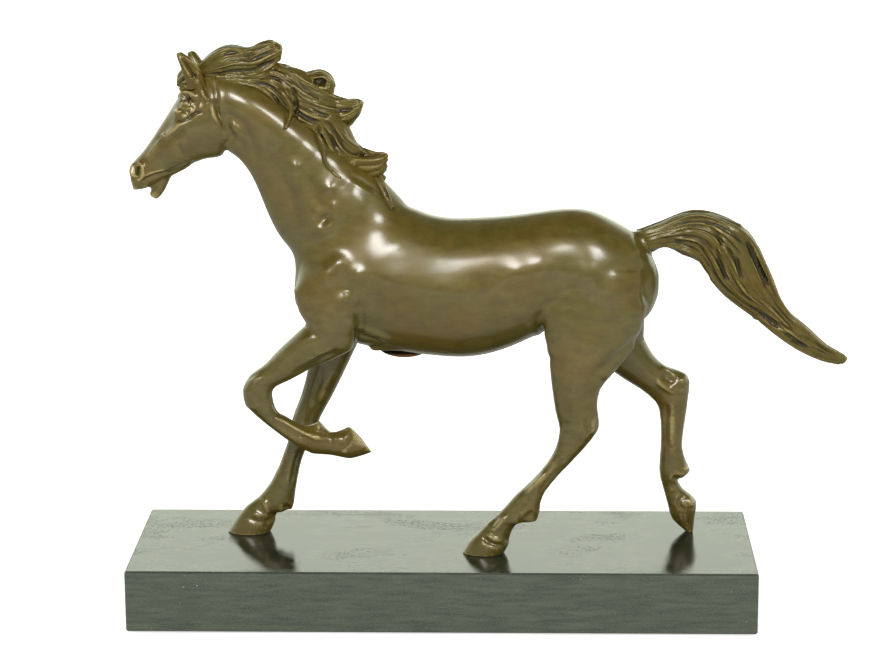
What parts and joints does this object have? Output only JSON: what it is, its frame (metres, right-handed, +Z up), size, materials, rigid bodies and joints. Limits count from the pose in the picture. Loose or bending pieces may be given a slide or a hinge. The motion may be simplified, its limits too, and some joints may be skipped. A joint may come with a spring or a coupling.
{
  "type": "horse statue",
  "caption": "Trotting horse in patinated bronze with a windblown mane and tail, on a rectangular polished marble slab with a felt underside.",
  "frame": {"origin": "centre of the felt's underside, on the surface that the statue stands on", "axes": "+Z up; X along the slab, the horse's head towards -X; Y across the slab, the horse's left side towards -Y"},
  "size_m": [0.3444, 0.1, 0.2764],
  "materials": {
    "bronze": "brown-olive patina, waxed, rubbed bright on edges",
    "bronze_hair": "brown-olive patina in the grooves, golden on the raised strands",
    "steel": "zinc plated",
    "marble": "grey-green marble, polished top, honed sides",
    "felt": "pressed felt"
  },
  "bodies": {
    "root": {"base_felt": "felt", "body_casting": "bronze", "curl_lock": "bronze_hair", "forelock": "bronze_hair", "head_casting": "bronze", "joint_dowels": "steel", "left_ear": "bronze", "left_fore_leg": "bronze", "left_hind_leg": "bronze", "left_lower_lock": "bronze_hair", "left_upper_lock": "bronze_hair", "lower_lock": "bronze_hair", "mane_crest": "bronze_hair", "marble_base": "marble", "middle_lock": "bronze_hair", "mounting_nuts": "steel", "mounting_studs": "steel", "mounting_washers": "steel", "neck_casting": "bronze", "poll_lock": "bronze_hair", "right_ear": "bronze", "right_fore_leg": "bronze", "right_hind_leg": "bronze", "right_lower_lock": "bronze_hair", "right_upper_lock": "bronze_hair", "tail_casting": "bronze_hair", "toe_pin": "steel", "withers_strand": "bronze_hair"}
  },
  "joints": []
}
